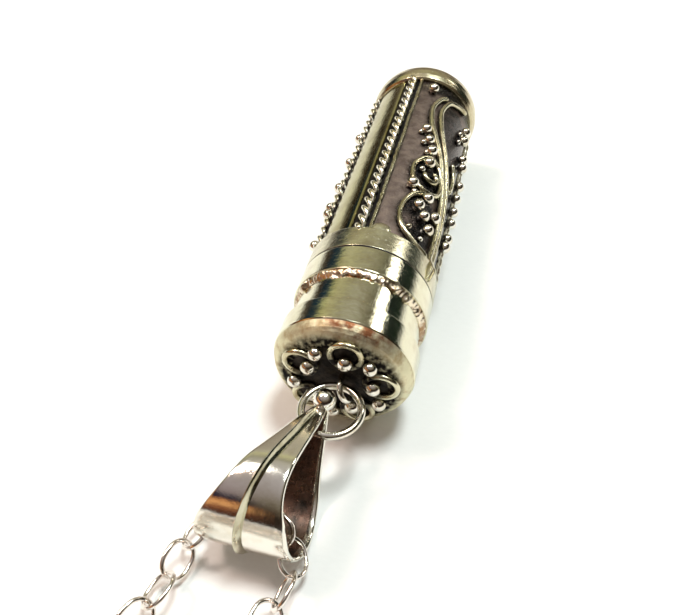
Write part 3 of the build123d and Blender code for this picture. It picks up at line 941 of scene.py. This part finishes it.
make("end_balls_inner", joined(*inner), "cap", "granule_silver", RING, "end_granules_inner")
make("end_balls_outer", joined(*outer), "cap", "granule_silver", RING, "end_granules_outer")

# The eyelet leans to one side; it stops where the jump ring can still turn freely in it.
lean_over, half_height, eyelet_middle = radians(26), 0.78, 0.6
sideways, lower = half_height * sin(lean_over), half_height * cos(lean_over)
staple = [beside(eyelet_middle - sideways, PLATE_FACE + 0.1, AXIS_Z + lower)]
for k in range(33):
    a = radians(180 * k / 32)
    staple.append(beside(eyelet_middle - cos(a) * sideways, -3.05 - 0.76 * sin(a), AXIS_Z + cos(a) * lower))
staple.append(beside(eyelet_middle + sideways, PLATE_FACE + 0.1, AXIS_Z - lower))
make("eyelet_wire", rod(staple, 0.21, sides=14), "cap", "polished_silver", RING, "eyelet")


# --- Jump ring and bail ---

ring_low, ring_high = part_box("jump_ring")
ring_centre = (ring_low + ring_high) / 2 / MM
ring_shape = hoop(ring_centre, 1.99, 0.27, up, 96, 20, toward=east)
make("jump_ring_wire", ring_shape, "jump_ring", "polished_silver", RING, "jump_ring")

yaw = radians(15.3)
ball_foot = beside(-0.35, -4.5, 0)
onward = Vector((-sin(yaw), -cos(yaw), 0))
skew = radians(2)
crosswise = Vector((cos(skew), -sin(skew), 0))
BAIL_TIP, BAIL_FOLD = (0.5, 5.1), (6.6, 3.6)
FOLD_RADIUS, SHEET = 3.6, 0.35
tip_radius, fold_radius = 0.21, FOLD_RADIUS - SHEET / 2
gap = hypot(BAIL_FOLD[0] - BAIL_TIP[0], BAIL_FOLD[1] - BAIL_TIP[1])
lean = degrees(atan2(BAIL_TIP[1] - BAIL_FOLD[1], BAIL_TIP[0] - BAIL_FOLD[0]))
spread = degrees(acos((fold_radius - tip_radius) / gap))


def bail_place(s, z, side=0.0):
    """A point on the bail: its distance from the ball, its height and its distance sideways."""
    return ball_foot + onward * s + crosswise * side + up * z


def bail_arc(centre, radius, a):
    """A point of the sheet's middle line on an arc, with the way out from it."""
    return centre[0] + radius * cos(a), centre[1] + radius * sin(a), cos(a), sin(a)


def bail_leaf(start, end):
    """Points of one flat leaf, between its ends."""
    made = []
    for k in range(1, 16):
        place = Vector(start[:2]).lerp(Vector(end[:2]), k / 16)
        made.append((place.x, place.y, start[2], start[3]))
    return made


def bail_line():
    """The sheet's middle line as (distance, height, outward distance, outward height)."""
    top, low = radians(lean - spread), radians(lean + spread)
    arc = 360 - 2 * spread
    made = [bail_arc(BAIL_TIP, tip_radius, radians(lean - spread * k / 6)) for k in range(7)]
    made += bail_leaf(bail_arc(BAIL_TIP, tip_radius, top), bail_arc(BAIL_FOLD, fold_radius, top))
    made += [bail_arc(BAIL_FOLD, fold_radius, radians(lean - spread - arc * k / 60)) for k in range(61)]
    made += bail_leaf(bail_arc(BAIL_FOLD, fold_radius, low), bail_arc(BAIL_TIP, tip_radius, low))
    made += [bail_arc(BAIL_TIP, tip_radius, radians(lean + spread * (1 - k / 6))) for k in range(6)]
    return made


bail_middle = bail_line()
travel = [0.0]
for (s0, z0, _, _), (s1, z1, _, _) in zip(bail_middle, bail_middle[1:]):
    travel.append(travel[-1] + hypot(s1 - s0, z1 - z0))
loop_length = travel[-1]
# (distance along the sheet from the tip, half its width there)
FRONT_WIDTHS = [(0, 0.35), (2.2, 0.85), (4.0, 1.1), (5.8, 1.4), (8.0, 1.8), (9.3, 2.3), (10.6, 2.85),
                (12.9, 3.1)]
BACK_WIDTHS = [(0, 0.35), (2.2, 0.85), (4.0, 1.2), (5.8, 1.65), (7.5, 2.2), (9.0, 2.75), (10.5, 3.05),
               (12.9, 3.1)]


def bail_half_width(u):
    """Half the sheet's width at a distance along it from the tip."""
    widths = FRONT_WIDTHS if u < loop_length / 2 else BACK_WIDTHS
    u = min(u, loop_length - u)
    for (x0, y0), (x1, y1) in zip(widths, widths[1:]):
        if u <= x1:
            return y0 + (y1 - y0) * (u - x0) / (x1 - x0)
    return widths[-1][1]


rings = []
for (s, z, ns, nz), u in zip(bail_middle, travel):
    half = SHEET / 2
    width = sum(bail_half_width(max(0.0, u + d)) for d in (-0.8, -0.4, 0, 0.4, 0.8)) / 5
    flat = width - half
    section = []
    for k in range(17):
        t = -1 + k / 8
        dent = 0.05 * (1 - t * t)
        section.append((flat * t, half + dent))
    for a in (60, 30, 0, -30, -60):
        section.append((flat + half * cos(radians(a)), half * sin(radians(a))))
    for k in range(17):
        t = 1 - k / 8
        section.append((flat * t, -half + 0.03 * (1 - t * t)))
    for a in (-60, -30, 0, 30, 60):
        section.append((-flat - half * cos(radians(a)), half * sin(radians(a))))
    rings.append([bail_place(s + ns * out, z + nz * out, side) for side, out in section])
sheet = make(
    "bail_sheet", skin(rings, closed=True), "bail", "polished_silver", BAIL_SILVER, "bail_strip", sharp=60
)
sheet.data.materials.append(BAIL_INSIDE_PAINTED_SHADE)
# The faces inside the loop get the dark material: painted shade.
INNER_FACES = range(23, 39)
for face in sheet.data.polygons:
    if face.index % len(section) in INNER_FACES:
        face.material_index = 1

blade = []
BLADE_START, BLADE_END = 0.9, 15.0
for (s, z, ns, nz), u in zip(bail_middle, travel):
    if BLADE_START < u < BLADE_END:
        wide = 0.27 * ease([(BLADE_START, 0.6), (4.0, 1.0), (12.0, 0.9), (BLADE_END, 0.1)], u)
        tall = 0.58 * ease([(BLADE_START, 0.7), (3.0, 1.0), (11.0, 0.9), (BLADE_END, 0.08)], u)
        section = [(-wide, -0.1), (-wide, 0.02), (-wide * 0.7, tall * 0.42), (-wide * 0.3, tall * 0.86),
                   (0, tall), (wide * 0.3, tall * 0.86), (wide * 0.7, tall * 0.42), (wide, 0.02),
                   (wide, -0.1)]
        lift = SHEET / 2 + 0.04
        section = [(side, out + lift) for side, out in section]
        blade.append([bail_place(s + ns * out, z + nz * out, side) for side, out in section])
make("bail_blade", skin(blade), "bail", "polished_silver", BLADE, "bail_ridge", sharp=60)
make("bail_bead", ball(bail_place(0.12, 5.6), 0.76, up, 1.0, 48),
     "bail", "granule_silver", RING, "bail_ball")


# --- Parchment ---

def scroll():
    """A parchment wound into a roll."""
    turns, thick, steps = 9, 0.14, 56
    core, outside, sag = 0.72, 3.35, 0.35
    outline = []
    total = turns * steps
    for k in range(total + 1):
        a = 2 * pi * k / steps
        r = core + (outside - core - thick) * k / total
        outline.append((r, a))
    loop = [(r, a) for r, a in outline] + [(r + thick, a) for r, a in reversed(outline)]
    stations = [-1.2 + 29.8 * k / 6 for k in range(7)]
    rings = []
    for station in stations:
        rings.append([beside(r * sin(a), station, AXIS_Z - sag + r * cos(a)) for r, a in loop])
    count = len(loop)
    points, faces = skin(rings)
    faces = faces[:-2]
    half = len(outline)
    for base in (0, (len(stations) - 1) * count):
        for k in range(half - 1):
            faces.append((base + k, base + k + 1, base + count - 2 - k, base + count - 1 - k))
    return points, faces


make("parchment_scroll", scroll(), "roll", "parchment", PARCHMENT, "parchment_roll")


# --- Floor and light ---

floor_mesh = bpy.data.meshes.new("floor")
reach = 0.6
level = min(cad_box[0].z, 0.0)
corners = [(-reach, -reach, level), (reach, -reach, level), (reach, reach, level), (-reach, reach, level)]
floor_mesh.from_pydata(corners, [], [(0, 1, 2, 3)])
floor_mesh.materials.append(FLOOR)
floor = bpy.data.objects.new("floor", floor_mesh)
scene.collection.objects.link(floor)


def sun(name, toward, strength, angle, colour):
    """A soft distant lamp."""
    light = bpy.data.lights.new(name, "SUN")
    light.energy = strength
    light.angle = radians(angle)
    light.color = colour
    lamp = bpy.data.objects.new(name, light)
    lamp.rotation_mode = "QUATERNION"
    lamp.rotation_quaternion = Vector(toward).to_track_quat("Z", "Y")
    scene.collection.objects.link(lamp)


sun("key", (0.16, 0.24, 0.96), 2.4, 16, (0.91, 1.0, 0.99))
sun("fill", (-0.52, 0.12, 0.85), 1.3, 14, (1.0, 0.79, 0.70))

# The metal reflects this sky; the camera itself sees a plain pale backdrop.
world = bpy.data.worlds.new("studio")
scene.world = world
world.use_nodes = True
sky = world.node_tree
around = sky.nodes.new("ShaderNodeTexCoord").outputs["Generated"]
parts = add(sky, "ShaderNodeSeparateXYZ", links=[(0, around)])


def banded(stops):
    """Colours by height in the sky."""
    node = add(sky, "ShaderNodeValToRGB", links=[(0, parts.outputs["Z"])])
    ramp = node.color_ramp
    ramp.elements[0].position, ramp.elements[1].position = stops[0][0], stops[-1][0]
    ramp.elements[0].color, ramp.elements[1].color = (*stops[0][1], 1), (*stops[-1][1], 1)
    for place, colour in stops[1:-1]:
        ramp.elements.new(place).color = (*colour, 1)
    return node.outputs["Color"]


SKY_TOP = (0.42, 0.38, 0.38)
left_sky = banded([(0.0, (0.06, 0.04, 0.02)), (0.16, (0.05, 0.032, 0.016)), (0.22, (0.003, 0.022, 0.045)),
        (0.42, (0.004, 0.030, 0.060)), (0.46, (0.62, 0.60, 0.28)), (0.58, (0.56, 0.53, 0.30)),
        (0.70, (0.34, 0.31, 0.22)), (0.80, (0.48, 0.45, 0.38)), (1.0, SKY_TOP)])
right_sky = banded([(0.0, (0.010, 0.018, 0.010)), (0.50, (0.010, 0.016, 0.014)),
        (0.60, (0.03, 0.028, 0.022)), (0.70, (0.18, 0.155, 0.11)), (0.82, (0.36, 0.33, 0.25)),
        (1.0, SKY_TOP)])
south_sky = banded([(0.0, (0.02, 0.014, 0.010)), (0.40, (0.03, 0.020, 0.014)), (0.55, (0.10, 0.075, 0.05)),
        (0.72, (0.20, 0.17, 0.13)), (0.86, (0.30, 0.26, 0.24)), (1.0, SKY_TOP)])
west_sky = banded([(0.0, (0.05, 0.020, 0.012)), (0.10, (0.10, 0.035, 0.018)), (0.24, (0.30, 0.11, 0.05)),
        (0.36, (0.85, 0.42, 0.16)), (0.46, (0.55, 0.22, 0.08)), (0.50, (0.012, 0.012, 0.03)),
        (0.60, (0.02, 0.02, 0.04)), (0.66, (0.26, 0.20, 0.20)), (0.80, (0.36, 0.30, 0.30)),
        (1.0, SKY_TOP)])
rightness = ranged(sky, parts.outputs["X"], -0.05, 0.4, 0, 1)
frontness = ranged(sky, parts.outputs["Y"], -0.15, 0.1, 1, 0)
north_sky = banded([(0.0, (0.12, 0.09, 0.06)), (0.2, (0.26, 0.21, 0.16)), (0.38, (0.40, 0.35, 0.27)),
        (0.52, (0.48, 0.44, 0.33))])
westness = ranged(sky, parts.outputs["X"], -0.24, -0.36, 0, 1)
front_sky = blended(sky, westness, south_sky, west_sky)
northness = times(sky, times(sky, ranged(sky, parts.outputs["X"], -0.56, -0.44, 0, 1),
                             ranged(sky, parts.outputs["X"], 0.42, 0.30, 0, 1)),
                  ranged(sky, parts.outputs["Z"], 0.58, 0.50, 0, 1))
back_sky = blended(sky, northness, blended(sky, rightness, left_sky, right_sky), north_sky)
both = blended(sky, frontness, back_sky, front_sky)


def spot(direction, inner, outer, strength):
    """How much of a round soft lamp is seen in each direction."""
    toward = add(sky, "ShaderNodeVectorMath", [(1, Vector(direction).normalized())], [(0, around)],
                 operation="DOT_PRODUCT").outputs["Value"]
    return ranged(sky, toward, cos(radians(outer)), cos(radians(inner)), 0, strength)


lit = blended(sky, spot((0.515, 0.66, 0.547), 4.4, 6.0, 1), both, (12.0, 11.6, 10.6))
lit = blended(sky, spot((-0.33, 0.30, 0.90), 4.0, 9.0, 1), lit, (4.0, 3.8, 3.6))
seen = add(sky, "ShaderNodeLightPath").outputs["Is Camera Ray"]
BACKDROP = (0.93, 0.93, 0.92)
lit = blended(sky, seen, lit, BACKDROP)
background = sky.nodes["Background"]
sky.links.new(lit, background.inputs["Color"])
background.inputs["Strength"].default_value = 1.0
scene.view_settings.view_transform = "Standard"

bpy.context.view_layer.update()
